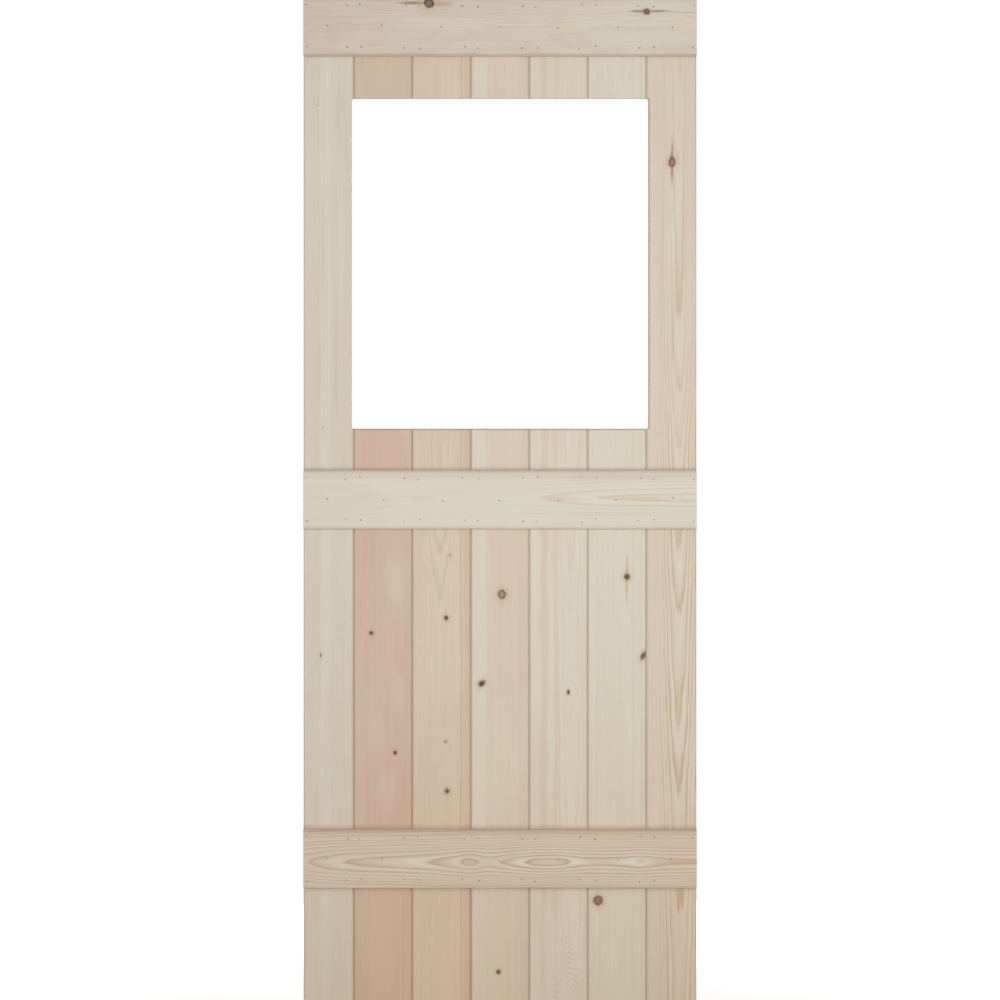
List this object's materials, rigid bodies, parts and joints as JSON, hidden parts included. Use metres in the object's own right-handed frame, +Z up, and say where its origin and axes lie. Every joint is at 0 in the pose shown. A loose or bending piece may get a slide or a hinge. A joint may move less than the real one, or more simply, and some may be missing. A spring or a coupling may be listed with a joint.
{
  "type": "ledged door",
  "caption": "Ledged door leaf: upright tongued, grooved and V-jointed softwood boards nailed to level ledges, with an open light cut through the upper half.",
  "frame": {"origin": "on the left edge of the leaf, the edge it is hung by, at the foot and in the middle of the boards' thickness", "axes": "+Z up the leaf, +X across it from the hanging edge to the closing edge, -Y towards the side with the ledges, +Y towards the flush boarded side"},
  "size_m": [0.762, 0.04, 1.981],
  "materials": {
    "board": "pale unfinished softwood, planed, grain upright",
    "ledge": "pale unfinished softwood, planed, grain level"
  },
  "bodies": {
    "root": {"left_edge_board": "board", "right_edge_board": "board", "lower_board_1": "board", "lower_board_2": "board", "lower_board_3": "board", "lower_board_4": "board", "lower_board_5": "board", "upper_board_1": "board", "upper_board_2": "board", "upper_board_3": "board", "upper_board_4": "board", "upper_board_5": "board", "top_ledge": "ledge", "middle_ledge": "ledge", "bottom_ledge": "ledge"}
  },
  "joints": []
}
